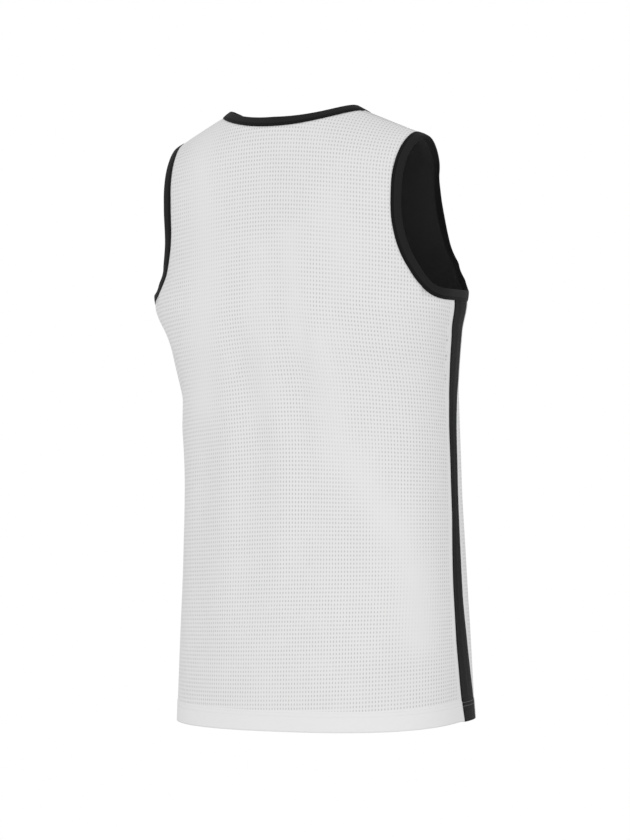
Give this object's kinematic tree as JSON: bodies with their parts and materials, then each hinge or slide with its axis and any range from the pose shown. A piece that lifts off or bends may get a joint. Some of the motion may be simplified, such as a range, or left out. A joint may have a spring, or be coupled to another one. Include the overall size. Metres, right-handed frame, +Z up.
{
  "type": "basketball jersey in its worn form",
  "caption": "Sleeveless basketball jersey in its hollow worn form: white mesh over a black inner layer, with black side strips and black bound neck and armholes.",
  "frame": {"origin": "midway between the two neck points of the shoulder seams, at their height, where the wearer's shoulders hold the jersey up", "axes": "+Z up along the worn jersey, +Y towards its back, +X towards the wearer's left"},
  "size_m": [0.404, 0.2666, 0.7389],
  "materials": {
    "white_mesh_cloth": "white polyester knit with small holes in straight rows, soft dull sheen",
    "black_inner_cloth": "smooth black polyester knit, matt",
    "black_trim_cloth": "black polyester rib knit, matt"
  },
  "bodies": {
    "root": {"back_panel": "white_mesh_cloth", "front_panel": "white_mesh_cloth", "back_lining": "black_inner_cloth", "front_lining": "black_inner_cloth", "side_strip_left": "black_trim_cloth", "side_strip_right": "black_trim_cloth", "neck_binding": "black_trim_cloth", "armhole_binding_left": "black_trim_cloth", "armhole_binding_right": "black_trim_cloth"}
  },
  "joints": []
}
